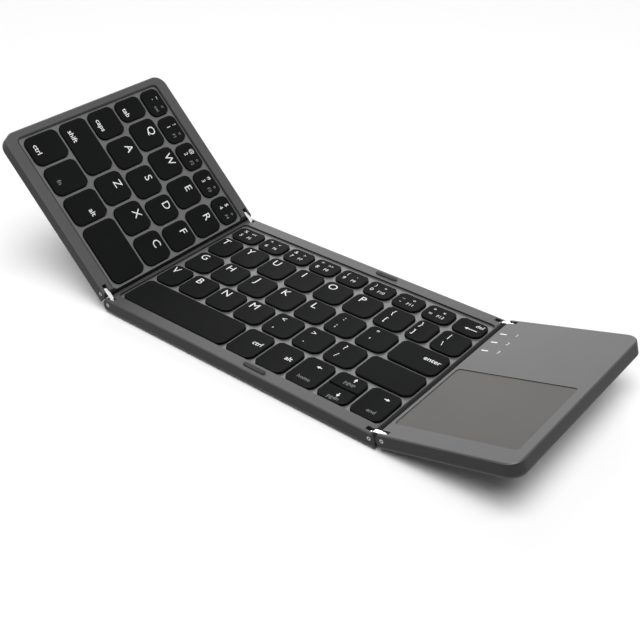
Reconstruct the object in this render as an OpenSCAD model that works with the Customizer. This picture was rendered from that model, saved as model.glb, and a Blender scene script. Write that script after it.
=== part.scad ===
// Folding pocket keyboard: three thin panels joined by two double-pivot folds.
// The left wing carries 23 keys, the middle 41 keys, the right wing a touchpad.
// X runs along the keyboard, Y from front edge to back edge, Z up. Millimetres.

/* [Panels] */
// depth of all three panels, front edge to back edge
panel_depth = 98; // [97:0.5:102]
// thickness of a panel without its feet
panel_t = 6.5; // [6.5:0.1:7.2]
// distance between the left and right fold pins of the middle panel
middle_span = 145.4; // [145.4:0.1:150]
// length of the left wing from its fold pin to its outer edge
left_length = 83.1; // [82.5:0.1:85]
// length of the right wing from its fold pin to its outer edge
right_length = 57.6; // [56.5:0.1:60]
// plan radius of the four outer corners
corner_r = 6; // [3:0.5:7]
// chamfer of the top edges of the outer sides
edge_chamfer = 0.45; // [0.2:0.05:0.6]
// radius of the bottom edges of the outer sides
edge_bottom_r = 1; // [0.5:0.1:1.2]
// height of the rubber feet under the panels
foot_h = 0.8; // [0.5:0.1:1.5]

/* [Folds] */
// angle the left wing is raised to at rest
left_raise = 45.6; // [20:0.1:60]
// angle the right wing is raised to at rest
right_raise = 16; // [5:0.1:60]
// distance between the two pivots of a link
link_length = 6; // [6:0.1:7]
// depth of a fold pivot below the rim
pivot_depth = 2.7; // [2.5:0.05:2.75]
// radius of the steel fold pins
pin_r = 0.9; // [0.6:0.05:1.1]
// radial running clearance of a pin in its link
pin_clearance = 0.05; // [0.02:0.01:0.1]
// thickness of a link plate
link_t = 1.8; // [1:0.1:1.9]
// radius of the round ends of a link plate
link_end_r = 2.2; // [1.6:0.1:2.3]
// side clearance of a link plate in its slot
slot_side = 0.15; // [0.1:0.05:0.3]
// thickness of the panel wall outside a link slot
outer_wall = 1.3; // [1:0.1:1.4]

/* [Keys] */
// distance from the front edge to the front row
front_margin = 6.3; // [6.2:0.1:8]
// distance from the number row to the back edge
back_margin = 9.2; // [8.4:0.1:10]
// how much further back the rows of the left wing sit
left_back = 1.4; // [0:0.1:1.5]
// distance from the outer edge of the left wing to its keys
outer_margin = 5.2; // [4:0.1:7]
// depth of the number row keys
number_d = 11.2; // [10:0.1:11.4]
// depth of the front row keys
front_d = 18.6; // [16:0.1:19]
// width of the front row keys
front_w = 14.8; // [14:0.1:16]
// width of the tab key
tab_w = 11.4; // [9:0.1:14]
// width of the capitals key
caps_w = 15.1; // [12:0.1:17]
// gap between key rows
row_gap = 1.5; // [1.4:0.05:2.2]
// plan radius of the key corners
key_r = 3.9; // [1.5:0.1:4.2]
// radius of the top edges of a key
key_edge_r = 0.6; // [0.3:0.05:0.8]
// height of the key tops above the rim
key_rise = 0.15; // [0.05:0.05:0.2]
// depth of the shallow dish in each square key
key_dish = 0.2; // [0.1:0.05:0.3]
// travel of a key
key_travel = 1.3; // [0.8:0.1:1.3]
// gap around a key in its opening
key_gap = 0.2; // [0.15:0.05:0.25]
// depth of the key well below the rim
well_depth = 0.9; // [0.6:0.1:0.9]
// distance from the front edge to the key well
well_front = 5.9; // [5.4:0.1:6]
// distance from the key well to the back edge
well_back = 6.5; // [5.4:0.1:6.7]

/* [Touchpad] */
// width of the touchpad
pad_w = 53; // [48:0.5:53]
// depth of the touchpad
pad_d = 44.4; // [38:0.2:46]
// distance of the touchpad from the front edge
pad_front = 8.8; // [8:0.1:12]
// depth of the touchpad surface below the rim
pad_sink = 0.25; // [0.1:0.05:0.4]

/* [Node to draw] */
// name of the piece to draw, or all

/* [Hidden] */
$fn = 48;

// heights inside a panel, from its bottom face
cover_t = 1.2;                        // bottom cover, at its edge
floor_t = 0.9;                        // bottom cover, over the cavity
pivot_z = panel_t - pivot_depth;      // fold pivots
web_top = panel_t - well_depth;       // floor of the key well
web_t = 0.6;
web_under = web_top - web_t;
lip_top = web_under - 0.1;            // retaining lip of a key
lip_t = 0.4;
lip_w = 0.5;
sheet_top = lip_top - lip_t - key_travel - 0.05;
sheet_t = 0.15;
plate_t = 0.4;
plate_z = sheet_top - sheet_t - plate_t;
key_top = panel_t + key_rise;
cap_t = 1;                            // thickness of a key's top
cap_wall = 1.2;
dome_h = key_top - cap_t - key_travel - sheet_top - 0.05;

// fold ends
square_end = 2.75;                    // reach of the square end beyond its pin
nose_end = 2.6;                       // reach of the nosed end beyond its pin
nose_top = 1.3;                       // reach of the nosed end's top edge
nose_r = 3;
slot_r = link_end_r + 0.3;
link_arch = 2.55;                     // height of a link's arched back over its pivots
slot_half = link_arch + 0.2;          // the arch clears the slot when a link stands upright
slot_w = link_t + 2 * slot_side;
block_d = outer_wall + slot_w + 1.2;  // depth of a hinge block
side_wall = 1.5;

// key rows: y of the front edge of each row, front row first
letter_d = (panel_depth - front_margin - back_margin - front_d - number_d - 4 * row_gap) / 3;
row_y = [front_margin, front_margin + front_d + row_gap, front_margin + front_d + letter_d + 2 * row_gap,
  front_margin + front_d + 2 * letter_d + 3 * row_gap, front_margin + front_d + 3 * letter_d + 4 * row_gap];
row_d = [front_d, letter_d, letter_d, letter_d, number_d];

// gaps along the rows
number_step = 1.5;
letter_step = 1.6;
front_step = 1.5;
half_gap = 0.6;                       // gap between the up and down keys
up_down = 4;                          // place of the up and down pair in the front row

// left wing: each row runs from the outer margin to a little past the fold pin,
// and its letter and number keys share what its named keys leave; the home row
// ends with two narrower keys
keys_left = -left_length + outer_margin;
left_over = 0.6;
left_row_w = left_over - keys_left;
l_letter_w = (left_row_w - tab_w - 4 * letter_step) / 4;
l_home_w = (left_row_w - caps_w - 2 * l_letter_w - 4 * letter_step) / 2;
l_number_w = (left_row_w - 4 * number_step) / 5;
left_w = [[front_w, front_w, front_w, left_row_w - 3 * (front_w + front_step)],
  [left_row_w - 3 * (l_letter_w + letter_step), l_letter_w, l_letter_w, l_letter_w],
  [caps_w, l_letter_w, l_letter_w, l_home_w, l_home_w],
  [tab_w, l_letter_w, l_letter_w, l_letter_w, l_letter_w],
  [l_number_w, l_number_w, l_number_w, l_number_w, l_number_w]];
left_step = [front_step, letter_step, letter_step, letter_step, number_step];

// middle: every row ends at the same line; its wide key takes what the others leave
mid_first = 2.2;                      // from the left fold pin to the keys
mid_last = 0.6;                       // from the keys to the right fold pin
mid_in = [0, 0, 1.1, 0, 0];           // extra inset of a row's first key
lower_first_w = 12.7;
upper_first_w = 13.1;
number_first_w = 15.9;
bracket_w = 11;
backslash_w = 14.5;
keys_mid = -middle_span / 2 + mid_first;
mid_row_w = middle_span - mid_first - mid_last;
letter_w = (mid_row_w - upper_first_w - bracket_w - backslash_w - 8 * letter_step) / 6;
number_w = (mid_row_w - number_first_w - 8 * number_step) / 8;
mid_w = [[mid_row_w - 5 * (front_w + front_step), front_w, front_w, front_w, front_w, front_w],
  [lower_first_w, letter_w, letter_w, letter_w, letter_w, letter_w, letter_w,
    mid_row_w - lower_first_w - 6 * letter_w - 7 * letter_step],
  [letter_w, letter_w, letter_w, letter_w, letter_w, letter_w, letter_w,
    mid_row_w - mid_in[2] - 7 * (letter_w + letter_step)],
  [upper_first_w, letter_w, letter_w, letter_w, letter_w, letter_w, letter_w, bracket_w, backslash_w],
  [number_first_w, number_w, number_w, number_w, number_w, number_w, number_w, number_w, number_w]];
mid_step = [front_step, letter_step, letter_step, letter_step, number_step];

function before(w, n, step) = n == 0 ? 0 : before(w, n - 1, step) + w[n - 1] + step;
function left_x(r, n) = keys_left + before(left_w[r], n, left_step[r]) + left_w[r][n] / 2;
function mid_x(r, n) = keys_mid + mid_in[r] + before(mid_w[r], n, mid_step[r]) + mid_w[r][n] / 2;
function row_mid(r) = row_y[r] + row_d[r] / 2;
function left_y(r) = row_mid(r) + left_back;

// place of the whole keyboard, so that its middle stands over the origin
lw_x = -middle_span / 2 - link_length * cos(left_raise);
rw_x = middle_span / 2 + link_length * cos(right_raise);
low_z = -pivot_z + edge_bottom_r;
x_low = lw_x - (left_length - edge_bottom_r) * cos(left_raise) + low_z * sin(left_raise) - edge_bottom_r;
x_high = rw_x + (right_length - edge_bottom_r) * cos(right_raise) - low_z * sin(right_raise) + edge_bottom_r;
shift_x = -(x_low + x_high) / 2;
mid_half = middle_span / 2;

// ---------- placing ----------
module place_middle() translate([shift_x, -panel_depth / 2, foot_h]) children();
// the wings and links are drawn flat with their pin at x = 0, then raised about it
module place_left_link() translate([shift_x - mid_half, -panel_depth / 2, foot_h + pivot_z])
  rotate([0, left_raise, 0]) children();
module place_left() place_left_link() translate([-link_length, 0, -pivot_z]) children();
module place_right_link() translate([shift_x + mid_half, -panel_depth / 2, foot_h + pivot_z])
  rotate([0, -right_raise, 0]) children();
module place_right() place_right_link() translate([link_length, 0, -pivot_z]) children();
// both ends of the depth: front as drawn, rear mirrored
module front_and_rear() {
  children();
  translate([0, panel_depth, 0]) mirror([0, 1, 0]) children();
}

// ---------- shared 2D shapes ----------
module rounded(w, d, r) {
  translate([-w / 2 + r, -d / 2]) square([w - 2 * r, d]);
  translate([-w / 2, -d / 2 + r]) square([w, d - 2 * r]);
  for (x = [-1, 1], y = [-1, 1]) translate([x * (w / 2 - r), y * (d / 2 - r)]) circle(r);
}
// takes a rounded corner off a shape whose corner is at the origin and which fills +x +y
module corner_off(r) difference() {
  translate([-1, -1]) square(r + 1);
  translate([r, r]) circle(r);
}
// section of the square fold end, on the right of its pin
module square_end_off() {
  translate([square_end, panel_t]) mirror([1, 0]) mirror([0, 1]) corner_off(pivot_depth);
  translate([square_end, 0]) mirror([1, 0]) corner_off(0.4);
}
// section of the nosed fold end, on the left of its pin
module nose_end_off() {
  translate([-nose_end, 0]) corner_off(nose_r);
  polygon([[-nose_end - 1, panel_t + 1], [-nose_top, panel_t + 1], [-nose_top, panel_t],
    [-nose_end, pivot_z + 1.1], [-nose_end - 1, pivot_z + 1.1]]);
}
// section of an outer side: chamfered above, rounded below
module outer_end_off() {
  polygon([[-1, panel_t - edge_chamfer - 1], [edge_chamfer + 1, panel_t + 1], [-1, panel_t + 1]]);
  corner_off(edge_bottom_r);
}
// section across the depth, all panels
module depth_section() difference() {
  square([panel_depth, panel_t]);
  outer_end_off();
  translate([panel_depth, 0]) mirror([1, 0]) outer_end_off();
}
module across(x0, x1) translate([x0, 0, 0]) rotate([90, 0, 90]) linear_extrude(x1 - x0) depth_section();
module along() translate([0, panel_depth + 1, 0]) rotate([90, 0, 0]) linear_extrude(panel_depth + 2) children();

// ---------- outer forms ----------
module middle_form() intersection() {
  across(-mid_half - nose_end, mid_half + square_end);
  along() difference() {
    translate([-mid_half - nose_end, 0]) square([middle_span + nose_end + square_end, panel_t]);
    translate([-mid_half, 0]) nose_end_off();
    translate([mid_half, 0]) square_end_off();
  }
}
// a wing as drawn with its pin at x = 0 and its outer edge at x = len; the fold end reaches back by fold
module wing_block(len, fold) linear_extrude(panel_t) difference() {
  translate([-fold, 0]) square([len + fold, panel_depth]);
  translate([len, 0]) mirror([1, 0]) corner_off(corner_r);
  translate([len, panel_depth]) mirror([1, 0]) mirror([0, 1]) corner_off(corner_r);
}
// edges of a wing's outer sides, followed round its two corners
module wing_edges_off(len, fold) {
  front_and_rear() {
    translate([-fold - 1, 0, 0]) rotate([90, 0, 90]) linear_extrude(len + fold + 1 - corner_r) outer_end_off();
    translate([len - corner_r, corner_r, 0]) rotate([0, 0, -90]) rotate_extrude(angle = 90)
      translate([corner_r, 0]) mirror([1, 0]) outer_end_off();
  }
  translate([0, panel_depth - corner_r, 0]) rotate([90, 0, 0]) linear_extrude(panel_depth - 2 * corner_r)
    translate([len, 0]) mirror([1, 0]) outer_end_off();
}
module left_form() difference() {
  mirror([1, 0, 0]) wing_block(left_length, square_end);
  mirror([1, 0, 0]) wing_edges_off(left_length, square_end);
  along() square_end_off();
}
module right_form() difference() {
  wing_block(right_length, nose_end);
  wing_edges_off(right_length, nose_end);
  along() nose_end_off();
}
module above_cover() translate([-200, -1, cover_t]) cube([400, panel_depth + 2, panel_t]);
module below_cover() translate([-200, -1, -1]) cube([400, panel_depth + 2, cover_t + 1]);

// ---------- parts of a panel ----------
// hollow between x0 and x1, narrower beside the hinge blocks; a or b say which end folds
module hollow(x0, x1, z0, z1, a, b) {
  translate([x0, block_d, z0]) cube([x1 - x0, panel_depth - 2 * block_d, z1 - z0]);
  translate([x0 + (a ? slot_r + 3.5 : 0), side_wall, z0])
    cube([x1 - x0 - (a ? slot_r + 3.5 : 0) - (b ? slot_r + 3.5 : 0), panel_depth - 2 * side_wall, z1 - z0]);
}
// slot for a link about a pin at x = 0, open at the top and towards side dir
module link_slot(dir) front_and_rear() translate([0, outer_wall, 0]) {
  translate([0, slot_w, pivot_z]) rotate([90, 0, 0]) cylinder(r = slot_r, h = slot_w);
  translate([-slot_half, 0, pivot_z]) cube([2 * slot_half, slot_w, panel_t]);
  translate([dir > 0 ? 0 : -10, 0, pivot_z - slot_r]) cube([10, slot_w, panel_t + 5]);
}
module pin_bore() front_and_rear() translate([0, block_d, pivot_z]) rotate([90, 0, 0])
  cylinder(r = pin_r, h = block_d + 1);
// hinge pin: a rivet with a hollow outer end
module pin() front_and_rear() difference() {
  translate([0, block_d, pivot_z]) rotate([90, 0, 0]) cylinder(r = pin_r, h = block_d - 0.05);
  translate([0, 0.7, pivot_z]) rotate([90, 0, 0]) cylinder(r = pin_r * 0.5, h = 1);
}
screw_inset = 3.4;                    // of the screws from the front and back edges
boss_r = 1.8;
module at_screws(xs) for (x = xs, y = [screw_inset, panel_depth - screw_inset]) translate([x, y, 0]) children();
module boss() translate([0, 0, cover_t]) cylinder(r = boss_r, h = web_under - cover_t + 0.2);
module boss_bore() translate([0, 0, 0]) cylinder(r = 0.7, h = 4.2);
module screw() {
  translate([0, 0, 0.6]) cylinder(r = 0.7, h = 3.4);
  difference() {
    translate([0, 0, 0.1]) cylinder(r = 1.3, h = 0.5);
    translate([0, 0, -0.2]) cylinder(r = 0.6, h = 0.6, $fn = 6);
  }
}
module screw_seat() {
  translate([0, 0, -1]) cylinder(r = 1.3, h = 1.6);
  translate([0, 0, -1]) cylinder(r = 0.7, h = 4);
}
module opening(w, d) translate([0, 0, web_under - 1]) linear_extrude(well_depth + web_t + 1.5)
  rounded(w + 2 * key_gap, d + 2 * key_gap, key_r + key_gap);
module well(x0, x1) translate([(x0 + x1) / 2, (well_front + panel_depth - well_back) / 2, web_top])
  linear_extrude(well_depth + 1) rounded(x1 - x0, panel_depth - well_front - well_back, 2.2);

// ribs of a cover: cross ribs that carry the key plate
module ribs(x0, x1, ys) for (y = ys) translate([x0, y - 0.4, floor_t - 0.1])
  cube([x1 - x0, 0.8, plate_z - floor_t + 0.1]);
rib_inset = 9;                        // of the first and last rib from the front and back edges
// n even steps from a to b
function steps(a, b, n) = [for (i = [0:n - 1]) a + (b - a) * i / (n - 1)];
module cover_pocket(x0, x1) translate([x0, side_wall, floor_t]) cube([x1 - x0, panel_depth - 2 * side_wall, 1]);

// ---------- keys ----------
// radius of the dish, which leaves a flat border 1.2 wide
function dish_r(w) = (w - 2.4) * (w - 2.4) / 8 / key_dish;
// full key about its centre; y0 and y1 trim it to a part of its footprint
module key_top_form(w, d) {
  translate([0, 0, web_under - lip_t - 0.1]) linear_extrude(key_top - web_under + lip_t + 0.1) rounded(w, d, key_r);
}
module key_section(w) difference() {
  translate([-w / 2, 0]) square([w, key_top]);
  for (s = [0, 1]) mirror([s, 0]) translate([-w / 2, key_top]) mirror([0, 1]) corner_off(key_edge_r);
}
module key(w, d, y0, y1) {
  lo = web_under - lip_t - 0.1;
  difference() {
    intersection() {
      key_top_form(w, d);
      translate([0, d, 0]) rotate([90, 0, 0]) linear_extrude(2 * d) key_section(w);
      translate([-w, (y0 + y1) / 2, 0]) rotate([90, 0, 90]) linear_extrude(2 * w) key_section(y1 - y0);
    }
    translate([-w / 2 + cap_wall, y0 + cap_wall, lo - 1])
      cube([w - 2 * cap_wall, y1 - y0 - 2 * cap_wall, key_top - cap_t - lo + 1]);
    if (w < 20) translate([0, d, key_top - key_dish + dish_r(w)]) rotate([90, 0, 0])
      cylinder(r = dish_r(w), h = 2 * d, $fn = 360);
  }
  // retaining lip under the web
  translate([0, 0, lo]) linear_extrude(lip_t) difference() {
    intersection() {
      rounded(w + 2 * lip_w, d + 2 * lip_w, key_r + lip_w);
      translate([-w, y0 > -d / 2 ? y0 : -d]) square([2 * w, (y1 < d / 2 ? y1 : d) - (y0 > -d / 2 ? y0 : -d)]);
    }
    translate([-w / 2 + cap_wall, y0 + cap_wall]) square([w - 2 * cap_wall, y1 - y0 - 2 * cap_wall]);
  }
}
module left_key(r, n) translate([left_x(r, n), left_y(r), 0])
  key(left_w[r][n], row_d[r], -row_d[r] / 2, row_d[r] / 2);
module mid_key(r, n) translate([mid_x(r, n), row_mid(r), 0])
  key(mid_w[r][n], row_d[r], -row_d[r] / 2, row_d[r] / 2);
module dome() translate([0, 0, sheet_top - 0.05]) cylinder(r1 = 2.6, r2 = 1.7, h = dome_h + 0.05, $fn = 36);

// ---------- middle panel ----------
mid_in0 = -mid_half - 1.2;
mid_in1 = mid_half + square_end - 1;
screw_end = 9;                        // of the screws from the pins or outer edges
mid_screws = [-mid_half + screw_end, -8, mid_half - screw_end];
battery_w = 62; battery_d = 34; battery_t = plate_z - floor_t - 0.15;
battery_x = -mid_half + 8;
battery_y = 12;
board_gap = 10.7;                     // between battery and board
board_x = battery_x + battery_w + board_gap;
board_y = battery_y + 2;
board_w = mid_half - 6.7 - board_x; board_d = 30; board_t = 0.6;
port_w = 7.6; port_h = 2.6; port_d = 5;
port_x = mid_half - 32.7;
port_z = 1.5;
tongue_w = 12;
plate_y = screw_inset + boss_r + 0.3; // front edge of the key plate, clear of the bosses
mid_ribs = steps(battery_y + battery_d + 5, panel_depth - rib_inset, 3);
foot_r = 3.5;
foot_inset = 10;
stop_w = 11.6; stop_d = 1.9;          // soft stops between the folded wings
stop_y = 3.2;
stop_sink = 0.6; stop_rise = 0.5;
module stops(top) front_and_rear() translate([seam_x, stop_y, panel_t - stop_sink])
  linear_extrude(stop_sink + top) rounded(stop_w, stop_d, 0.9);
seam_x = ((-mid_half + left_length) + (mid_half - right_length)) / 2;

module middle_frame() color([0.5, 0.5, 0.5]) place_middle() difference() {
  union() {
    difference() {
      intersection() { middle_form(); above_cover(); }
      hollow(mid_in0, mid_in1, cover_t - 1, web_under, true, true);
    }
    at_screws(mid_screws) boss();
  }
  well(-mid_half + 0.6, mid_half + 0.4);
  for (r = [0:4], n = [0:len(mid_w[r]) - 1]) translate([mid_x(r, n), row_mid(r), 0]) opening(mid_w[r][n], row_d[r]);
  translate([-mid_half, 0, 0]) { link_slot(-1); pin_bore(); }
  translate([mid_half, 0, 0]) { link_slot(1); pin_bore(); }
  at_screws(mid_screws) boss_bore();
  stops(1);
  translate([port_x - port_w / 2, panel_depth - port_d - 0.3, port_z]) cube([port_w, port_d + 1, port_h]);
}
module middle_cover() color([0.3, 0.3, 0.3]) place_middle() {
  difference() {
    intersection() { middle_form(); below_cover(); }
    cover_pocket(-mid_half + 1, mid_half + 1);
    at_screws(mid_screws) screw_seat();
  }
  // ribs stop short of the board's tongue
  ribs(-mid_half + 2, mid_half, [rib_inset]);
  ribs(-mid_half + 2, port_x - tongue_w / 2 - 1, mid_ribs);
  ribs(port_x + tongue_w / 2 + 1, mid_half, mid_ribs);
}
module middle_key_plate() color([0.6, 0.6, 0.62]) place_middle()
  translate([mid_in0 + 0.3, plate_y, plate_z]) cube([mid_in1 - mid_in0 - 0.6, panel_depth - 2 * plate_y, plate_t]);
module middle_dome_sheet() color([0.15, 0.15, 0.15]) place_middle() {
  translate([mid_in0 + 0.5, plate_y + 0.2, plate_z + plate_t])
    cube([mid_in1 - mid_in0 - 1, panel_depth - 2 * plate_y - 0.4, sheet_t]);
  for (r = [0:4], n = [0:len(mid_w[r]) - 1]) if (!(r == 0 && n == up_down))
    translate([mid_x(r, n), row_mid(r), 0]) dome();
  for (s = [-1, 1]) translate([mid_x(0, up_down), row_mid(0) + s * (front_d + half_gap) / 4, 0]) dome();
}
module battery() color([0.75, 0.75, 0.78]) place_middle() translate([battery_x, battery_y, floor_t])
  cube([battery_w, battery_d, battery_t]);
module main_board() color([0.1, 0.35, 0.2]) place_middle() {
  translate([board_x, board_y, floor_t]) cube([board_w, board_d, board_t]);
  // radio, charge controller and the key matrix controller
  translate([board_x + 8, board_y + 8, floor_t]) cube([7, 7, board_t + 0.7]);
  translate([board_x + 21, board_y + 10, floor_t]) cube([5, 4, board_t + 0.6]);
  translate([board_x + board_w - 15, board_y + 6, floor_t]) cube([9, 12, board_t + 0.5]);
  // tongue that carries the charge port
  translate([port_x - tongue_w / 2, board_y, floor_t]) cube([tongue_w, panel_depth - board_y - 2.2, board_t]);
}
module charge_port() color([0.8, 0.8, 0.82]) place_middle() difference() {
  translate([port_x - port_w / 2, panel_depth - port_d - 0.1, port_z]) cube([port_w, port_d, port_h]);
  translate([port_x - port_w / 2 + 0.3, panel_depth - port_d + 0.4, port_z + 0.3]) cube([port_w - 0.6, port_d + 1, port_h - 0.6]);
}
module fold_pads() color([0.2, 0.2, 0.2]) place_middle() stops(stop_rise);
module foot() translate([0, 0, -foot_h]) cylinder(r = foot_r, h = foot_h);
module middle_feet() color([0.1, 0.1, 0.1]) place_middle()
  for (x = [-mid_half + foot_inset + 2.7, mid_half - foot_inset - 2.7], y = [foot_inset, panel_depth - foot_inset])
    translate([x, y, 0]) foot();
module middle_screws() color([0.3, 0.3, 0.3]) place_middle() at_screws(mid_screws) screw();
module middle_hinge_pins() color([0.8, 0.8, 0.8]) place_middle() {
  translate([-mid_half, 0, 0]) pin();
  translate([mid_half, 0, 0]) pin();
}

// ---------- left wing ----------
left_in0 = -left_length + 2;
left_in1 = square_end - 1;
left_screws = [-left_length + screw_end, -10];
module left_frame() color([0.4, 0.4, 0.4]) place_left() difference() {
  union() {
    difference() {
      intersection() { left_form(); above_cover(); }
      hollow(left_in0 + 3, left_in1, cover_t - 1, web_under, false, true);
      translate([left_in0, 6, cover_t - 1]) cube([10, panel_depth - 12, web_under - cover_t + 1]);
    }
    at_screws(left_screws) boss();
  }
  well(keys_left - 1.2, 1.7);
  for (r = [0:4], n = [0:len(left_w[r]) - 1]) translate([left_x(r, n), left_y(r), 0]) opening(left_w[r][n], row_d[r]);
  link_slot(1);
  pin_bore();
  at_screws(left_screws) boss_bore();
}
module left_cover() color([0.3, 0.3, 0.3]) place_left() {
  difference() {
    intersection() { left_form(); below_cover(); }
    translate([-left_length + 2, 6, floor_t]) cube([left_length - 3, panel_depth - 12, 1]);
    at_screws(left_screws) screw_seat();
  }
  ribs(-left_length + 3, 0, steps(rib_inset, panel_depth - rib_inset, 5));
}
module left_key_plate() color([0.6, 0.6, 0.62]) place_left()
  translate([left_in0 + 1.5, 6.3, plate_z]) cube([left_in1 - left_in0 - 1.9, panel_depth - 13.4, plate_t]);
module left_dome_sheet() color([0.15, 0.15, 0.15]) place_left() {
  translate([left_in0 + 1.8, 6.6, plate_z + plate_t]) cube([left_in1 - left_in0 - 2.4, panel_depth - 14, sheet_t]);
  for (r = [0:4], n = [0:len(left_w[r]) - 1]) translate([left_x(r, n), left_y(r), 0]) dome();
}
module left_feet() color([0.1, 0.1, 0.1]) place_left()
  for (y = [foot_inset, panel_depth - foot_inset]) translate([-left_length + foot_inset, y, 0]) foot();
module left_screws() color([0.3, 0.3, 0.3]) place_left() at_screws(left_screws) screw();
module left_hinge_pins() color([0.8, 0.8, 0.8]) place_left() pin();

// ---------- right wing ----------
right_in0 = -1.2;
right_in1 = right_length - 2;
right_screws = [10, right_length - screw_end];
pad_x = 0.2 + pad_w / 2;
pad_y = pad_front + pad_d / 2;
pad_t = 1;
skin_t = 1.5;
mark_x = 2.4;
mark_w = 3.2; mark_d = 0.9;
mark_y = [for (i = [2, 1, 0]) panel_depth - 13.1 - 7.5 * i];
module right_frame() color([0.5, 0.5, 0.5]) place_right() difference() {
  union() {
    difference() {
      intersection() { right_form(); above_cover(); }
      hollow(right_in0, right_in1 - 3, cover_t - 1, panel_t - skin_t, true, false);
      translate([right_in1 - 10, 6, cover_t - 1]) cube([10, panel_depth - 12, panel_t - skin_t - cover_t + 1]);
    }
    at_screws(right_screws) boss();
  }
  translate([pad_x, pad_y, panel_t - pad_sink - pad_t]) linear_extrude(4) rounded(pad_w, pad_d, 1.5);
  translate([pad_x, pad_y, 3]) linear_extrude(4) rounded(pad_w - 5, pad_d - 5, 1);
  for (y = mark_y) translate([mark_x - mark_w / 2, y - mark_d / 2, 3]) cube([mark_w, mark_d, 5]);
  link_slot(-1);
  pin_bore();
  at_screws(right_screws) boss_bore();
}
module right_cover() color([0.3, 0.3, 0.3]) place_right() {
  difference() {
    intersection() { right_form(); below_cover(); }
    translate([1, 6, floor_t]) cube([right_length - 3, panel_depth - 12, 1]);
    at_screws(right_screws) screw_seat();
  }
  ribs(2, right_length - 4, steps(30, panel_depth - rib_inset, 3));
}
module touchpad() color([0.45, 0.43, 0.41]) place_right()
  translate([pad_x, pad_y, panel_t - pad_sink - pad_t]) linear_extrude(pad_t) rounded(pad_w - 0.2, pad_d - 0.2, 1.4);
module touchpad_board() color([0.1, 0.35, 0.2]) place_right() difference() {
  union() {
    translate([pad_x - pad_w / 2 + 3, pad_y - pad_d / 2 + 3, panel_t - pad_sink - pad_t - 0.8])
      cube([pad_w - 6, pad_d - 6, 0.8]);
    translate([pad_x - 4, pad_y - 4, panel_t - pad_sink - pad_t - 1.7]) cube([8, 8, 1]);
  }
}
module indicator_windows() color([0.95, 0.95, 0.95]) place_right()
  for (y = mark_y) translate([mark_x - mark_w / 2, y - mark_d / 2, panel_t - skin_t])
    cube([mark_w, mark_d, skin_t - 0.05]);
module right_feet() color([0.1, 0.1, 0.1]) place_right()
  for (y = [foot_inset, panel_depth - foot_inset]) translate([right_length - foot_inset, y, 0]) foot();
module right_screws() color([0.3, 0.3, 0.3]) place_right() at_screws(right_screws) screw();
module right_hinge_pins() color([0.8, 0.8, 0.8]) place_right() pin();

// ---------- links: drawn flat, with the middle panel's pin at x = 0 and the wing's at dir * link_length ----------
spine_in = [2.25, link_length - square_end - 0.2]; // reach of the spine from the nosed panel's pin
arch_r = link_length + 2;
module link_outline(dir) difference() {
  union() {
    for (x = [0, dir * link_length]) translate([x, 0]) circle(link_end_r);
    translate([dir > 0 ? 0 : -link_length, -link_end_r + 0.5]) square([link_length, 2 * link_end_r - 0.5]);
    // arched back of the link
    intersection() {
      translate([dir * link_length / 2, link_arch - arch_r]) circle(arch_r, $fn = 96);
      translate([dir > 0 ? 0 : -link_length, 0]) square([link_length, 4]);
    }
  }
  for (x = [0, dir * link_length]) translate([x, 0]) circle(pin_r + pin_clearance);
}
// spine section; the nosed panel is the middle at the left fold and the wing at the right fold
module spine_place(dir) translate([dir < 0 ? -spine_in[1] : link_length - spine_in[1], 0, 0]) children();
module link(dir) {
  translate([0, outer_wall + slot_side + link_t, 0]) rotate([90, 0, 0]) linear_extrude(link_t) {
    link_outline(dir);
    spine_place(dir) translate([0, -3.7]) square([spine_in[1] - spine_in[0], 2.5]);
  }
}
module rear_link(dir) translate([0, panel_depth, 0]) mirror([0, 1, 0]) link(dir);
module spine(dir) spine_place(dir) translate([0, outer_wall + slot_side + link_t, -3.7])
  cube([spine_in[1] - spine_in[0], panel_depth - 2 * (outer_wall + slot_side + link_t), 0.75]);

module left_front_link() color([0.85, 0.85, 0.87]) place_left_link() link(-1);
module left_rear_link() color([0.85, 0.85, 0.87]) place_left_link() rear_link(-1);
module left_fold_spine() color([0.12, 0.12, 0.12]) place_left_link() spine(-1);
module right_front_link() color([0.85, 0.85, 0.87]) place_right_link() link(1);
module right_rear_link() color([0.85, 0.85, 0.87]) place_right_link() rear_link(1);
module right_fold_spine() color([0.12, 0.12, 0.12]) place_right_link() spine(1);

// ---------- key nodes ----------
module keys() color([0.12, 0.12, 0.12]) children();
module left_row(r, a, b) keys() place_left() for (n = [a:b]) left_key(r, n);
module mid_row(r, a, b) keys() place_middle() for (n = [a:b]) mid_key(r, n);
module arrow_half(s) keys() place_middle() translate([mid_x(0, up_down), row_mid(0), 0])
  key(front_w, front_d, s < 0 ? -front_d / 2 : half_gap / 2, s < 0 ? -half_gap / 2 : front_d / 2);

module left_control_key() left_row(0, 0, 0);
module function_key() left_row(0, 1, 1);
module left_alt_key() left_row(0, 2, 2);
module left_space_key() left_row(0, 3, 3);
module left_shift_key() left_row(1, 0, 0);
module lower_keys_left() left_row(1, 1, 3);
module caps_key() left_row(2, 0, 0);
module home_keys_left() left_row(2, 1, 4);
module tab_key() left_row(3, 0, 0);
module upper_keys_left() left_row(3, 1, 4);
module escape_key() left_row(4, 0, 0);
module number_keys_left() left_row(4, 1, 4);
module right_space_key() mid_row(0, 0, 0);
module right_control_key() mid_row(0, 1, 1);
module right_alt_key() mid_row(0, 2, 2);
module arrow_left_key() mid_row(0, 3, 3);
module arrow_up_key() arrow_half(1);
module arrow_down_key() arrow_half(-1);
module arrow_right_key() mid_row(0, 5, 5);
module lower_keys_middle() mid_row(1, 0, 6);
module right_shift_key() mid_row(1, 7, 7);
module home_keys_middle() mid_row(2, 0, 6);
module enter_key() mid_row(2, 7, 7);
module upper_keys_middle() mid_row(3, 0, 7);
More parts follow.
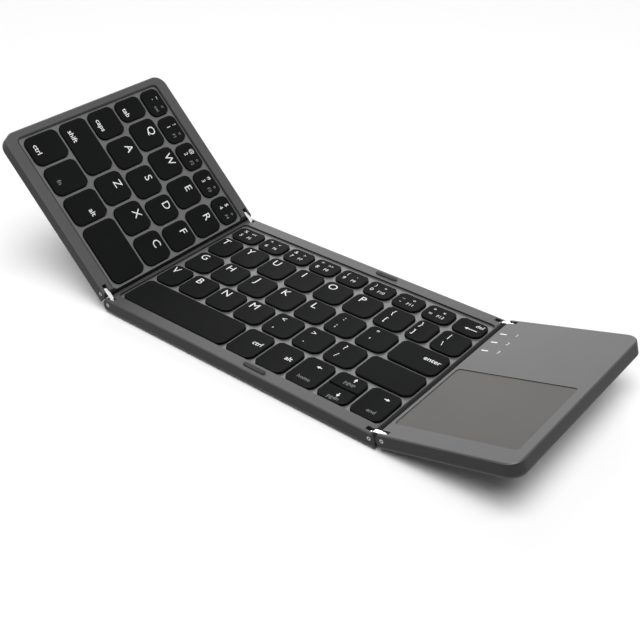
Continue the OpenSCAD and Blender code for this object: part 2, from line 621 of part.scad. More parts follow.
module backslash_key() mid_row(3, 8, 8);
module number_keys_middle() mid_row(4, 0, 7);
module delete_key() mid_row(4, 8, 8);

// ---------- drawing ----------
middle_cover();
middle_frame();
middle_key_plate();
middle_dome_sheet();
battery();
main_board();
charge_port();
fold_pads();
middle_feet();
middle_screws();
middle_hinge_pins();
left_cover();
left_frame();
left_key_plate();
left_dome_sheet();
left_feet();
left_screws();
left_hinge_pins();
right_cover();
right_frame();
touchpad();
touchpad_board();
indicator_windows();
right_feet();
right_screws();
right_hinge_pins();
left_front_link();
left_rear_link();
left_fold_spine();
right_front_link();
right_rear_link();
right_fold_spine();
escape_key();
tab_key();
caps_key();
left_shift_key();
left_control_key();
function_key();
left_alt_key();
left_space_key();
number_keys_left();
upper_keys_left();
home_keys_left();
lower_keys_left();
number_keys_middle();
delete_key();
upper_keys_middle();
backslash_key();
home_keys_middle();
enter_key();
lower_keys_middle();
right_shift_key();
right_space_key();
right_control_key();
right_alt_key();
arrow_left_key();
arrow_up_key();
arrow_down_key();
arrow_right_key();
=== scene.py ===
import math

import bmesh
import bpy
from mathutils import Matrix, Vector


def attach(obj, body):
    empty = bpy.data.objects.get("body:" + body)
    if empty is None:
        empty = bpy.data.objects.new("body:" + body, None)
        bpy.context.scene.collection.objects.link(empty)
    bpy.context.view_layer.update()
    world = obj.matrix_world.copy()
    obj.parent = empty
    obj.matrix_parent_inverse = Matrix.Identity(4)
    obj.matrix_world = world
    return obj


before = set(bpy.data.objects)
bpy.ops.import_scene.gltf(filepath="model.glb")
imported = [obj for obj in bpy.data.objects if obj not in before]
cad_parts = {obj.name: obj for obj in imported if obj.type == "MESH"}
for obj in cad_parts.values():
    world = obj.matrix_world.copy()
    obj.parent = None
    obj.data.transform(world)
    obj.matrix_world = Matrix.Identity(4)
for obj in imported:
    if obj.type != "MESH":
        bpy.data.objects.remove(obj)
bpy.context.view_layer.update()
scene = bpy.context.scene
MM = 0.001

# ---------- sizes shared with the source, in millimetres ----------
DEPTH = 98.0  # of every panel, front to back
PANEL_T = 6.5  # thickness of a panel
FOOT = 0.8  # height of the rubber feet
PIVOT_DEPTH = 2.7  # of the fold pivots under the rim
PIVOT_Z = PANEL_T - PIVOT_DEPTH
MID_HALF = 72.7  # from the middle of the middle panel to its pivots
LINK = 6.0  # between the two pivots of a fold
LEFT_LENGTH, RIGHT_LENGTH = 83.1, 57.6  # from a wing's pivot to its outer edge
LEFT_RAISE, RIGHT_RAISE = math.radians(45.6), math.radians(16.0)
EDGE_BOTTOM_R = 1.0  # of the bottom edges of the outer sides
KEY_RISE = 0.15  # of the key tops above the rim
KEY_TOP = PANEL_T + KEY_RISE
KEY_DISH = 0.2  # depth of the dish in a key
DISH_BORDER = 1.2  # level border on both sides of a dish
DISHED_W = 20  # wider keys have a level top


def wing_reach(length, raised):
    """How far a raised wing reaches out from the middle of the middle panel."""
    return (MID_HALF + (LINK + length - EDGE_BOTTOM_R) * math.cos(raised)
            + (PIVOT_Z - EDGE_BOTTOM_R) * math.sin(raised) + EDGE_BOTTOM_R)


# the whole stands with its middle over the origin
SHIFT_X = (wing_reach(LEFT_LENGTH, LEFT_RAISE) - wing_reach(RIGHT_LENGTH, RIGHT_RAISE)) / 2

# places of the three panels: millimetres of a panel as drawn flat, to metres of the whole
SCALE = Matrix.Scale(MM, 4)
MIDDLE = SCALE @ Matrix.Translation((SHIFT_X, -DEPTH / 2, FOOT))
LEFT = (SCALE @ Matrix.Translation((SHIFT_X - MID_HALF, -DEPTH / 2, FOOT + PIVOT_Z))
        @ Matrix.Rotation(LEFT_RAISE, 4, "Y") @ Matrix.Translation((-LINK, 0, -PIVOT_Z)))
RIGHT = (SCALE @ Matrix.Translation((SHIFT_X + MID_HALF, -DEPTH / 2, FOOT + PIVOT_Z))
         @ Matrix.Rotation(-RIGHT_RAISE, 4, "Y") @ Matrix.Translation((LINK, 0, -PIVOT_Z)))


# ---------- materials ----------
def linear(hex_colour):
    """An sRGB hex colour as linear red, green, blue and alpha."""
    out = []
    for i in (1, 3, 5):
        c = int(hex_colour[i:i + 2], 16) / 255
        out.append(c / 12.92 if c <= 0.04045 else ((c + 0.055) / 1.055) ** 2.4)
    return (*out, 1.0)


def put(tree, kind, settings=None, **inputs):
    """Adds a node with its settings; an input is a value or another node's output."""
    made = tree.nodes.new(kind)
    for name, value in (settings or {}).items():
        setattr(made, name, value)
    for name, value in inputs.items():
        socket = made.inputs[int(name[1:])] if name[0] == "_" else made.inputs[name.replace("_", " ")]
        if isinstance(value, bpy.types.NodeSocket):
            tree.links.new(value, socket)
        else:
            socket.default_value = value
    return made


def surface(name, **shader):
    """A new material with its Principled shader; returns both."""
    material = bpy.data.materials.new(name)
    material.use_nodes = True
    bsdf = material.node_tree.nodes["Principled BSDF"]
    for key, value in shader.items():
        bsdf.inputs[key.replace("_", " ")].default_value = value
    return material, bsdf


CLOUD_SCALE = 55.0  # clouds of about 18 mm, as of uneven spraying
CLOUD_SHARE = 0.5  # of the clouds in the colour, beside the grit
SMOOTHER, ROUGHER = 0.05, 0.06  # how far the roughness drifts with the clouds
BUMP_STRENGTH = 0.6


def grained(name, dark, light, grit_mm, bump_mm, rough, **shader):
    """A finish whose colour drifts a little between two shades, with a fine grit of the stated size."""
    material, bsdf = surface(name, **shader)
    tree = material.node_tree
    place = put(tree, "ShaderNodeTexCoord").outputs["Object"]
    cloud = put(tree, "ShaderNodeTexNoise", Vector=place, Scale=CLOUD_SCALE, Detail=3.0)
    grit = put(tree, "ShaderNodeTexNoise", Vector=place, Scale=1.0 / (grit_mm * MM), Detail=2.0)
    both = put(tree, "ShaderNodeMath", {"operation": "MULTIPLY_ADD"},
               _0=cloud.outputs["Fac"], _1=CLOUD_SHARE, _2=grit.outputs["Fac"])
    ramp = put(tree, "ShaderNodeValToRGB", Fac=both.outputs[0])
    low, high = ramp.color_ramp.elements
    low.position, low.color = 0.45, linear(dark)
    high.position, high.color = 1.0, linear(light)
    tree.links.new(ramp.outputs["Color"], bsdf.inputs["Base Color"])
    wear = put(tree, "ShaderNodeMapRange", Value=cloud.outputs["Fac"],
               To_Min=rough - SMOOTHER, To_Max=rough + ROUGHER)
    tree.links.new(wear.outputs["Result"], bsdf.inputs["Roughness"])
    bump = put(tree, "ShaderNodeBump", Strength=BUMP_STRENGTH, Distance=bump_mm * MM,
               Height=grit.outputs["Fac"])
    tree.links.new(bump.outputs["Normal"], bsdf.inputs["Normal"])
    return material


# metallic grey lacquer on the level faces: even, with a very fine flake and a soft sheen
flat_grey = grained("metallic_grey_lacquer", "#4c4c4d", "#545455", 0.25, 0.003, 0.42,
                    Metallic=0.5, Specular_IOR_Level=0.2)
# the floor of the key wells: painted light, the same lacquer made lighter so the floors between the keys
# read as lit
well_floor_light_grey = grained("well_floors_painted_light", "#626263", "#707071", 0.25, 0.003, 0.36,
                   Metallic=0.45, Specular_IOR_Level=0.2)
# side walls and the walls of the key wells: painted shade, the housing's grey made darker on every face
# that does not point up, so the walls read as shaded; dull, so it stays quiet at the edges
wall_shade_grey = grained("walls_painted_shade", "#2a2a2b", "#313132", 0.25, 0.004, 0.5,
                    Metallic=0.2, Specular_IOR_Level=0.2)
# the rolled edges at the folds: painted shade, the same aluminium made dark so that a fold reads as a
# shaded groove
fold_shade_dark = grained("folds_painted_shade", "#232324", "#2a2a2b", 0.25, 0.004, 0.55,
                    Metallic=0.1, Specular_IOR_Level=0.1)
# the spine between two panels: moulded ABS, dull, with its grey raised a little above the covers' as
# painted light, so the gap between the panels reads less black
spine_light_grey = grained("spine_abs_painted_light", "#5c5c5d", "#666667", 0.3, 0.01, 0.6, Specular_IOR_Level=0.2)
# the bottom covers: moulded ABS with a fine matt spark texture, dark and dull
cover_dark = grained("moulded_dark_abs", "#3c3c3d", "#474748", 0.3, 0.01, 0.6, Specular_IOR_Level=0.3)
# key tops: satin UV-coated ABS, nearly black with a soft low sheen
key_black = grained("satin_black_abs", "#141415", "#191a1a", 0.2, 0.003, 0.5, Specular_IOR_Level=0.02)
# key sides: painted shade, the key's black ABS made deeper on every face that does not point up, so the
# sides read as shaded
key_flank_shade = grained("key_flanks_painted_shade", "#0a0a0b", "#0e0e0f", 0.2, 0.004, 0.6, Specular_IOR_Level=0.02)
# etched touch glass: a warm grey, very fine and even
touch_grey = grained("etched_warm_grey_glass", "#4a4845", "#504e4b", 0.2, 0.001, 0.45,
                     Specular_IOR_Level=0.2)
# feet, pads and domes: moulded silicone rubber, dull and slightly dusty
rubber_black = grained("black_silicone_rubber", "#1d1d1e", "#2a2a2b", 0.3, 0.008, 0.8)
# links: nickel-chrome plate on pressed steel, a bright and even mirror
chrome = surface("bright_chrome_plate", Base_Color=linear("#e6e6e8"), Metallic=1.0, Roughness=0.12)[0]
# rivets: turned steel, bright and lightly worn
steel = grained("turned_steel", "#9a9a9c", "#c4c4c6", 0.15, 0.003, 0.28, Metallic=1.0)
# screws: blackened steel, dark with a dull glint
screw_black = grained("blackened_steel", "#38383a", "#4c4c4e", 0.2, 0.004, 0.4, Metallic=1.0)
# key plate: cold-rolled steel, plain and slightly dull
plate_steel = grained("rolled_steel", "#8a8a8c", "#a0a0a2", 0.3, 0.004, 0.4, Metallic=1.0)
# boards: solder mask over copper, a glossy dark green
board_green = grained("green_solder_mask", "#123f22", "#1a5530", 0.4, 0.01, 0.4)
# cell: laminated foil, silvery with a soft crumple
foil = grained("laminated_foil", "#b5b5b8", "#c9c9cc", 0.6, 0.02, 0.35, Metallic=0.8)
# light windows: polycarbonate with a diffuser in it, milky white
window_white = grained("milky_polycarbonate", "#e6e6e4", "#f4f4f2", 0.3, 0.002, 0.3)
# legends: pad-printed opaque inks, flat and matt
ink_white = surface("white_pad_ink", Base_Color=linear("#e9e9e9"), Roughness=0.6)[0]
ink_grey = surface("grey_pad_ink", Base_Color=linear("#7c7c7c"), Roughness=0.6)[0]

# the finish of each CAD piece, by the ending of its name
FINISH = {
    "frame": flat_grey, "cover": cover_dark, "key": key_black, "keys_left": key_black,
    "keys_middle": key_black, "touchpad": touch_grey, "feet": rubber_black, "fold_pads": rubber_black,
    "dome_sheet": rubber_black, "fold_spine": spine_light_grey, "link": chrome, "hinge_pins": steel,
    "screws": screw_black, "key_plate": plate_steel, "board": board_green, "battery": foil,
    "charge_port": steel, "indicator_windows": window_white,
}
KEY_TOP_SLOPE = 0.6  # a key's face belongs to its top where it points up by more than this
for name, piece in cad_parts.items():
    ending = max((e for e in FINISH if name.endswith(e)), key=len)
    piece.data.materials.clear()
    piece.data.materials.append(FINISH[ending])
    # painted shade: every key face that does not point up gets the darker copy of the key's black
    if FINISH[ending] is key_black:
        piece.data.materials.append(key_flank_shade)
        on_left = piece.data.vertices[0].co.x < (SHIFT_X - MID_HALF) * MM
        up = (LEFT if on_left else MIDDLE).to_3x3().normalized() @ Vector((0, 0, 1))
        for face in piece.data.polygons:
            face.material_index = int(face.normal.dot(up) < KEY_TOP_SLOPE)

# WELL faces get painted light, FOLD and WALL faces painted shade
TOP, WELL, FOLD, WALL = range(4)  # material slots of a panel's housing
LEVEL_SLOPE = 0.97
CHAMFER_SLOPE = math.sqrt(0.5)
FOLD_SLOPE = 0.1  # rolled edges count as fold down to this slope
SLOPE_SLACK = 0.01
WELL_Z = PANEL_T - 0.6  # level faces under this are the floor of a well
CHAMFER_Z = PANEL_T - 0.5  # chamfers over this run round the top


def face_finishes(piece, place):
    """Gives a housing's top and chamfers, well floors, rolled fold edges and side walls a finish each, by
    the way each face points: painted light on the well floors, painted shade on the fold edges and walls.
    """
    for finish in (well_floor_light_grey, fold_shade_dark, wall_shade_grey):
        piece.data.materials.append(finish)
    turn = place.to_3x3().normalized().inverted()
    back = place.inverted()
    for face in piece.data.polygons:
        slope = turn @ face.normal
        z = (back @ face.center).z
        if slope.z > LEVEL_SLOPE:
            face.material_index = WELL if z < WELL_Z else TOP
        elif abs(slope.z - CHAMFER_SLOPE) < SLOPE_SLACK and z > CHAMFER_Z:
            face.material_index = TOP
        elif slope.z > FOLD_SLOPE and abs(slope.y) < SLOPE_SLACK:
            face.material_index = FOLD
        else:
            face.material_index = WALL


for name, place in (("middle_frame", MIDDLE), ("left_frame", LEFT), ("right_frame", RIGHT)):
    face_finishes(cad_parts[name], place)

# ---------- places of the keys, in panel millimetres ----------
FRONT_MARGIN, BACK_MARGIN = 6.3, 9.2  # from the panel's edges to the keys
FRONT_D, NUMBER_D, ROW_GAP = 18.6, 11.2, 1.5
LETTER_D = (DEPTH - FRONT_MARGIN - BACK_MARGIN - FRONT_D - NUMBER_D - 4 * ROW_GAP) / 3
ROW_D = [FRONT_D, LETTER_D, LETTER_D, LETTER_D, NUMBER_D]
LEFT_BACK = 1.4  # how much further back the left wing's rows sit
NUMBER_GAP, LETTER_GAP, FRONT_GAP = 1.5, 1.6, 1.5  # between the keys of a row
FRONT_W, TAB_W, CAPS_W = 14.8, 11.4, 15.1
LOWER_FIRST_W, UPPER_FIRST_W, NUMBER_FIRST_W = 12.7, 13.1, 15.9  # first keys of the middle's rows
BRACKET_W, BACKSLASH_W = 11.0, 14.5
HOME_INSET = 1.1  # extra inset of the middle's home row
OUTER_MARGIN = 5.2  # from the left wing's outer edge to its keys
LEFT_OVER = 0.6  # reach of the left wing's keys past its pivot
MID_FIRST, MID_LAST = 2.2, 0.6  # from the middle panel's pivots to its keys
KEYS_LEFT, KEYS_LEFT_END = -LEFT_LENGTH + OUTER_MARGIN, LEFT_OVER
KEYS_MID, KEYS_MID_END = -MID_HALF + MID_FIRST, MID_HALF - MID_LAST


def row(r, start, end, gap, widths, back=0.0):
    """(x, y, width, depth) of each key of row r; the keys without a width share what the others leave."""
    rest = end - start - (len(widths) - 1) * gap - sum(w for w in widths if w)
    out = []
    for w in widths:
        w = w or rest / widths.count(None)
        y = FRONT_MARGIN + sum(ROW_D[:r]) + r * ROW_GAP + ROW_D[r] / 2 + back
        out.append((start + w / 2, y, w, ROW_D[r]))
        start += w + gap
    return out


def left_row(r, gap, widths):
    return row(r, KEYS_LEFT, KEYS_LEFT_END, gap, widths, LEFT_BACK)


def middle_row(r, gap, widths, inset=0.0):
    return row(r, KEYS_MID + inset, KEYS_MID_END, gap, widths)


tab_row = left_row(3, LETTER_GAP, [TAB_W] + [None] * 4)
letter_left = tab_row[1][2]
upper_row = middle_row(3, LETTER_GAP, [UPPER_FIRST_W] + [None] * 6 + [BRACKET_W, BACKSLASH_W])
letter = upper_row[1][2]
# rows run from the front, and keys from the left
LEFT_ROWS = [
    left_row(0, FRONT_GAP, [FRONT_W] * 3 + [None]),
    left_row(1, LETTER_GAP, [None] + [letter_left] * 3),
    left_row(2, LETTER_GAP, [CAPS_W, letter_left, letter_left, None, None]),
    tab_row,
    left_row(4, NUMBER_GAP, [None] * 5),
]
MID_ROWS = [
    middle_row(0, FRONT_GAP, [None] + [FRONT_W] * 5),
    middle_row(1, LETTER_GAP, [LOWER_FIRST_W] + [letter] * 6 + [None]),
    middle_row(2, LETTER_GAP, [letter] * 7 + [None], HOME_INSET),
    upper_row,
    middle_row(4, NUMBER_GAP, [NUMBER_FIRST_W] + [None] * 8),
]

# ---------- legends: sizes and places in millimetres from the middle of a key ----------
INK_T = 0.02
INK_LIFT = 0.015  # air under the ink, so that it shares no surface with the key
WHITE, GREY = 0, 1  # material slots of the two inks
WORD_SIZE, DELETE_SIZE, FUNCTION_SIZE, NAVIGATION_SIZE = 3.7, 3.2, 3.3, 2.8
WORD_WEIGHT = 0.01  # how much the words are thickened, as a share of their size
LETTER_SIZE, LETTER_LEFT_AT, LETTER_MIDDLE_AT = 5.9, (-1.0, 3.2), (-3.0, 3.6)
SIGN_SIZE, UPPER_SIGN_AT, LOWER_SIGN_AT = 4.3, (-2.9, 3.8), (-2.8, -2.5)
DIGIT_SIZE, SIGN_OVER_DIGIT_SIZE, SIDE_SIZE, DIGIT_DROP = 3.2, 3.0, 2.6, 3.9
ARROW_BAR, DELETE_BAR, ARROW_W, ARROW_HEAD_R, ARROW_NECK = 1.5, 5.0, 0.45, 0.95, 0.15
ARROW_X, DELETE_ARROW_AT = 1.3, (1.6, -1.1)
PORT_NUMBER_SIZE, PORT_NUMBER_X, PORT_NUMBER_Y = 3.0, 8.9, (84.9, 77.4, 69.9)


def joined(name, bm, *finishes):
    """A bmesh as a piece of the scene with its finishes."""
    mesh = bpy.data.meshes.new(name)
    bm.to_mesh(mesh)
    bm.free()
    for finish in finishes:
        mesh.materials.append(finish)
    piece = bpy.data.objects.new(name, mesh)
    scene.collection.objects.link(piece)
    return piece


def printed(words, size, at, ink, key_w, align="CENTER"):
    """Flat lettering as a mark: its mesh, its place on the key, its ink and the key's width."""
    curve = bpy.data.curves.new("ink", "FONT")
    curve.body = words
    curve.size = size
    curve.align_x = align
    curve.align_y = "CENTER"
    curve.resolution_u = 3
    curve.offset = size * WORD_WEIGHT if size == WORD_SIZE else 0.0
    curve.extrude = INK_T / 2
    thing = bpy.data.objects.new("ink", curve)
    scene.collection.objects.link(thing)
    bpy.context.view_layer.update()
    mesh = bpy.data.meshes.new_from_object(thing.evaluated_get(bpy.context.evaluated_depsgraph_get()))
    bpy.data.objects.remove(thing)
    return mesh, at, ink, key_w


def arrow_mark(angle, at, bar, key_w):
    """An arrow as a mark, turned by the stated degrees: a bar and a three-sided head."""
    bm = bmesh.new()
    bmesh.ops.create_grid(bm, x_segments=1, y_segments=1, size=0.5,
                          matrix=Matrix.Diagonal((bar, ARROW_W, 1, 1)))
    bmesh.ops.create_circle(bm, cap_ends=True, segments=3, radius=ARROW_HEAD_R,
                            matrix=Matrix.Translation((bar / 2 + ARROW_NECK, 0, 0))
                            @ Matrix.Rotation(-math.pi / 2, 4, "Z"))
    bmesh.ops.solidify(bm, geom=bm.faces[:], thickness=INK_T)
    bmesh.ops.rotate(bm, verts=bm.verts, cent=(0, 0, 0),
                     matrix=Matrix.Rotation(math.radians(angle), 3, "Z"))
    bmesh.ops.recalc_face_normals(bm, faces=bm.faces)
    mesh = bpy.data.meshes.new("arrow")
    bm.to_mesh(mesh)
    bm.free()
    return mesh, at, WHITE, key_w


def dish_height(x, w):
    """Height of a key's top over its rim at x from its middle."""
    dish_w = w - 2 * DISH_BORDER
    if w > DISHED_W or abs(x) > dish_w / 2:
        return 0.0
    r = dish_w ** 2 / 8 / KEY_DISH
    return -KEY_DISH + r - math.sqrt(r * r - x * x)


def legend_piece(name, body, place, marks):
    """Joins the marks that ride on one body; each comes with the middle of its key."""
    bm = bmesh.new()
    for key_x, key_y, (mesh, (x, y), ink, w) in marks:
        before = len(bm.verts)
        faces = len(bm.faces)
        bm.from_mesh(mesh)
        bm.verts.ensure_lookup_table()
        bm.faces.ensure_lookup_table()
        for v in bm.verts[before:]:
            v.co.x += x
            v.co.y += y
            v.co.z += KEY_TOP + dish_height(v.co.x, w) + INK_T / 2 + INK_LIFT
            v.co.x += key_x
            v.co.y += key_y
        for f in bm.faces[faces:]:
            f.material_index = ink
    bmesh.ops.transform(bm, matrix=place, verts=bm.verts)
    piece = joined(name, bm, ink_white, ink_grey)
    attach(piece, body)


# kinds of legend: each gives the marks of one key from its text and the key's width and depth
def letter_left_wing(text, w, d):
    return [printed(text, LETTER_SIZE, LETTER_LEFT_AT, WHITE, w)]


def letter_middle(text, w, d):
    return [printed(text, LETTER_SIZE, LETTER_MIDDLE_AT, WHITE, w)]


def letter_or_signs(text, w, d):
    """One letter, or a pair of signs over each other."""
    if len(text) == 1:
        return letter_middle(text, w, d)
    return [printed(text[0], SIGN_SIZE, UPPER_SIGN_AT, WHITE, w),
            printed(text[1], SIGN_SIZE, LOWER_SIGN_AT, WHITE, w)]


def digit(texts, w, d, x=-3.6, side_x=1.5, top_y=2.5, side_ink=WHITE):
    """A sign over a digit, and beside them a small sign over the name of a function key."""
    sign, number, function, small_sign = texts
    low_y = top_y - DIGIT_DROP
    return [printed(sign, SIGN_OVER_DIGIT_SIZE, (x, top_y), WHITE, w),
            printed(number, DIGIT_SIZE, (x, low_y), WHITE, w),
            printed(function, SIDE_SIZE, (side_x, low_y), side_ink, w),
            printed(small_sign, SIDE_SIZE, (side_x, top_y), side_ink, w)]


def digit_left_wing(texts, w, d):
    return digit(texts, w, d, -1.8, 3.5, 2.9, GREY)


def word(text, w, d):
    return [printed(text, WORD_SIZE, (w / 2 - 2.0, 1.4), WHITE, w, "RIGHT")]


def word_at_front(text, w, d):
    return [printed(text, WORD_SIZE, (-w / 2 + 4.3, -d / 2 + 4.2), WHITE, w, "LEFT")]


def word_grey(text, w, d):
    return [printed(text, FUNCTION_SIZE, (1.0, -d / 2 + 4.6), GREY, w)]


def delete_word(text, w, d):
    """The word, with a long arrow under it."""
    return [arrow_mark(180, DELETE_ARROW_AT, DELETE_BAR, w),
            printed(text, DELETE_SIZE, (w / 2 - 1.8, 2.6), WHITE, w, "RIGHT")]


def arrow(spec, w, d):
    """A short arrow and a small grey word, at the stated places."""
    angle, y, text, text_at = spec
    return [arrow_mark(angle, (ARROW_X, y), ARROW_BAR, w),
            printed(text, NAVIGATION_SIZE, text_at, GREY, w)]


def legends(name, place, rows, r, first, texts, kind):
    """Prints one node's keys: texts run from key number first of row r."""
    marks = []
    for (x, y, w, d), text in zip(rows[r][first:], texts):
        marks += [(x, y, mark) for mark in kind(text, w, d)]
    legend_piece("legend_" + name, name, place, marks)


legends("escape_key", LEFT, LEFT_ROWS, 4, 0, [("~", "`", "esc", "o")], digit_left_wing)
legends("number_keys_left", LEFT, LEFT_ROWS, 4, 1,
        [("!", "1", "F1", "o"), ("@", "2", "F2", "o"), ("#", "3", "F3", "o"), ("$", "4", "F4", "o")],
        digit_left_wing)
legends("tab_key", LEFT, LEFT_ROWS, 3, 0, ["tab"], word_at_front)
legends("upper_keys_left", LEFT, LEFT_ROWS, 3, 1, "QWER", letter_left_wing)
legends("caps_key", LEFT, LEFT_ROWS, 2, 0, ["caps"], word_at_front)
legends("home_keys_left", LEFT, LEFT_ROWS, 2, 1, "ASDF", letter_left_wing)
legends("left_shift_key", LEFT, LEFT_ROWS, 1, 0, ["shift"], word_at_front)
legends("lower_keys_left", LEFT, LEFT_ROWS, 1, 1, "ZXC", letter_left_wing)
legends("left_control_key", LEFT, LEFT_ROWS, 0, 0, ["ctrl"], word_at_front)
legends("function_key", LEFT, LEFT_ROWS, 0, 1, ["fn"], word_grey)
legends("left_alt_key", LEFT, LEFT_ROWS, 0, 2, ["alt"], word)
legends("number_keys_middle", MIDDLE, MID_ROWS, 4, 0,
        [("%", "5", "F5", "<<"), ("^", "6", "F6", "<"), ("&", "7", "F7", ">"), ("*", "8", "F8", ">>"),
         ("(", "9", "F9", "-"), (")", "0", "F10", "+"), ("_", "-", "F11", "o"), ("+", "=", "F12", "x")],
        digit)
legends("delete_key", MIDDLE, MID_ROWS, 4, 8, ["del"], delete_word)
legends("upper_keys_middle", MIDDLE, MID_ROWS, 3, 0, ["T", "Y", "U", "I", "O", "P", "{[", "}]"],
        letter_or_signs)
legends("backslash_key", MIDDLE, MID_ROWS, 3, 8, ["|\\"], letter_or_signs)
legends("home_keys_middle", MIDDLE, MID_ROWS, 2, 0, ["G", "H", "J", "K", "L", ":;", "\"'"],
        letter_or_signs)
legends("enter_key", MIDDLE, MID_ROWS, 2, 7, ["enter"], word)
legends("lower_keys_middle", MIDDLE, MID_ROWS, 1, 0, ["V", "B", "N", "M", "<,", ">.", "?/"],
        letter_or_signs)
legends("right_control_key", MIDDLE, MID_ROWS, 0, 1, ["ctrl"], word)
legends("right_alt_key", MIDDLE, MID_ROWS, 0, 2, ["alt"], word)
legends("arrow_left_key", MIDDLE, MID_ROWS, 0, 3, [(180, 4.8, "home", (0.1, -4.6))], arrow)
legends("arrow_up_key", MIDDLE, MID_ROWS, 0, 4, [(90, 6.4, "pgup", (0.7, 3.9))], arrow)
legends("arrow_down_key", MIDDLE, MID_ROWS, 0, 4, [(-90, -4.0, "pgdn", (0.7, -7.0))], arrow)
legends("arrow_right_key", MIDDLE, MID_ROWS, 0, 5, [(0, 4.8, "end", (1.1, -4.8))], arrow)

# plain numbers beside the three light windows, on the level top of the right wing
legend_piece("legend_lights", "right_wing", RIGHT @ Matrix.Translation((0, 0, PANEL_T - KEY_TOP)),
             [(PORT_NUMBER_X, y, printed(text, PORT_NUMBER_SIZE, (0, 0), WHITE, math.inf))
              for text, y in zip("123", PORT_NUMBER_Y)])

# ---------- painted shade: a hairline dark strip round the key well of the left wing, in panel millimetres ---
SHADE_LINE_T, SHADE_LINE_W, SHADE_LINE_CORNER = 0.02, 0.35, 2.7
SHADE_LINE_X, SHADE_LINE_Y = (-79.6, 3.0), (5.4, 92.0)
SHADE_LINE_END = 0.0  # the dark strip stops here and is open towards the fold


def well_shade_line(name, body, place):
    """A rounded rectangle's outline as a thin dark strip of painted shade, cut open at the fold."""
    (x0, x1), (y0, y1) = SHADE_LINE_X, SHADE_LINE_Y
    bm = bmesh.new()
    bmesh.ops.create_grid(bm, x_segments=1, y_segments=1, size=0.5,
                          matrix=Matrix.Translation(((x0 + x1) / 2, (y0 + y1) / 2, PANEL_T + SHADE_LINE_T))
                          @ Matrix.Diagonal((x1 - x0, y1 - y0, 1, 1)))
    bmesh.ops.bevel(bm, geom=bm.verts[:], offset=SHADE_LINE_CORNER, segments=8, profile=0.5,
                    affect="VERTICES", material=-1)
    strip = bmesh.ops.inset_region(bm, faces=bm.faces[:], thickness=SHADE_LINE_W, use_even_offset=True,
                                   use_boundary=True)["faces"]
    bmesh.ops.delete(bm, geom=[f for f in bm.faces if f not in strip], context="FACES")
    bmesh.ops.bisect_plane(bm, geom=bm.verts[:] + bm.edges[:] + bm.faces[:],
                           plane_co=(SHADE_LINE_END, 0, 0), plane_no=(1, 0, 0), clear_outer=True)
    bmesh.ops.solidify(bm, geom=bm.faces[:], thickness=SHADE_LINE_T)
    bmesh.ops.recalc_face_normals(bm, faces=bm.faces)
    bmesh.ops.transform(bm, matrix=place, verts=bm.verts)
    piece = joined(name, bm, fold_shade_dark)
    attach(piece, body)


well_shade_line("left_well_shade_line", "left_wing", LEFT)

# ---------- camera ----------
LENS_MM, SENSOR_MM = 59.198, 36.0
LENS_SHIFT = (0.0294, -0.0473)
CAMERA_PLACE = (0.249553, -0.297066, 0.261656)
CAMERA_RIGHT = Vector((0.77030, 0.63763, -0.00850))
CAMERA_AHEAD = Vector((-0.54285, 0.64870, -0.53337))
camera_data = bpy.data.cameras.new("camera")
camera_data.sensor_fit = "HORIZONTAL"
camera_data.sensor_width = SENSOR_MM
camera_data.lens = LENS_MM
camera_data.shift_x, camera_data.shift_y = LENS_SHIFT
camera_data.clip_start = 0.01
camera = bpy.data.objects.new("camera", camera_data)
scene.collection.objects.link(camera)
camera_up = CAMERA_RIGHT.cross(CAMERA_AHEAD)
camera.matrix_world = Matrix((
    (CAMERA_RIGHT.x, camera_up.x, -CAMERA_AHEAD.x, CAMERA_PLACE[0]),
    (CAMERA_RIGHT.y, camera_up.y, -CAMERA_AHEAD.y, CAMERA_PLACE[1]),
    (CAMERA_RIGHT.z, camera_up.z, -CAMERA_AHEAD.z, CAMERA_PLACE[2]),
    (0, 0, 0, 1)))
scene.camera = camera

# ---------- floor, world and lamps ----------
FLOOR_HALF = 3.0  # metres from the middle of the floor to its edges
PAPER_GLOW = 0.01  # lifts the lit paper to white where it is seen
ROOM_LIGHT = 0.09  # strength of the dim room on the object
SOFTBOX_SIDE = 2.0  # metres
paper = bpy.data.materials.new("white_paper")
paper.use_nodes = True
bm = bmesh.new()
bmesh.ops.create_grid(bm, x_segments=1, y_segments=1, size=FLOOR_HALF)
floor = joined("floor", bm, paper)
world = bpy.data.worlds.new("studio")
world.use_nodes = True
scene.world = world


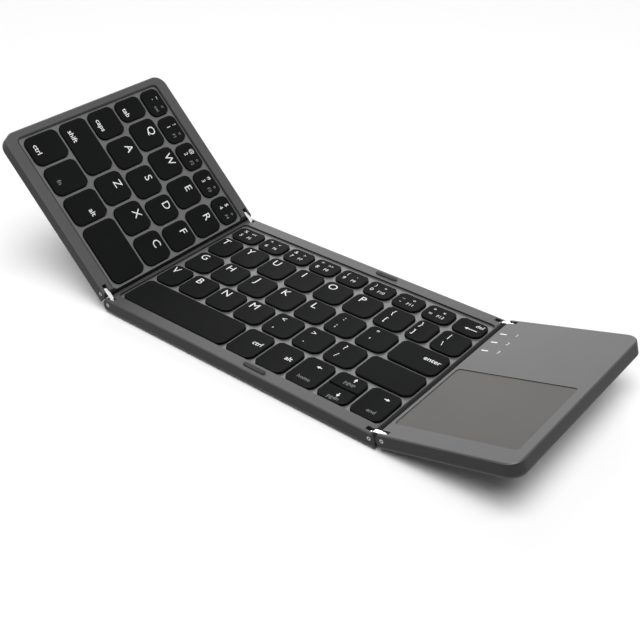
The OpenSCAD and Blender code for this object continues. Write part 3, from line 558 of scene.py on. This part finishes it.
def background_rays(tree):
    """1 for what is seen straight, in gloss or through a clear piece, and 0 for light on the object."""
    rays = put(tree, "ShaderNodeLightPath").outputs
    seen = put(tree, "ShaderNodeMath", {"operation": "MAXIMUM"},
               _0=rays["Is Camera Ray"], _1=rays["Is Glossy Ray"])
    return put(tree, "ShaderNodeMath", {"operation": "MAXIMUM"},
               _0=seen.outputs[0], _1=rays["Is Transmission Ray"]).outputs[0]


# matt paper: it keeps the shadow and glows very slightly where it is seen
tree = paper.node_tree
tree.nodes.clear()
matt = put(tree, "ShaderNodeBsdfDiffuse", Color=linear("#fafafa"))
none = put(tree, "ShaderNodeEmission", Color=linear("#000000"), Strength=0.0)
glow = put(tree, "ShaderNodeEmission", Color=linear("#ffffff"), Strength=PAPER_GLOW)
lift = put(tree, "ShaderNodeMixShader", _0=background_rays(tree), _1=none.outputs[0], _2=glow.outputs[0])
total = put(tree, "ShaderNodeAddShader", _0=matt.outputs[0], _1=lift.outputs[0])
put(tree, "ShaderNodeOutputMaterial", Surface=total.outputs[0])

# a dim room round the object, and plain white where the room itself is seen
tree = world.node_tree
tree.nodes.clear()
dim = put(tree, "ShaderNodeBackground", Color=linear("#ffffff"), Strength=ROOM_LIGHT)
white = put(tree, "ShaderNodeBackground", Color=linear("#ffffff"), Strength=1.0)
mix = put(tree, "ShaderNodeMixShader", _0=background_rays(tree), _1=dim.outputs[0], _2=white.outputs[0])
put(tree, "ShaderNodeOutputWorld", Surface=mix.outputs[0])


def softbox(name, place, watts):
    """A square soft lamp at the stated place in metres, turned to the object."""
    lamp = bpy.data.lights.new(name, "AREA")
    lamp.shape = "SQUARE"
    lamp.size = SOFTBOX_SIDE
    lamp.energy = watts
    thing = bpy.data.objects.new(name, lamp)
    scene.collection.objects.link(thing)
    thing.location = place
    thing.rotation_euler = (-Vector(place)).to_track_quat("-Z", "Y").to_euler()


softbox("overhead", (0.5, -0.55, 2.25), 65.0)
softbox("back_left", (-1.61, 1.61, 1.02), 22.0)

scene.view_settings.view_transform = "Standard"
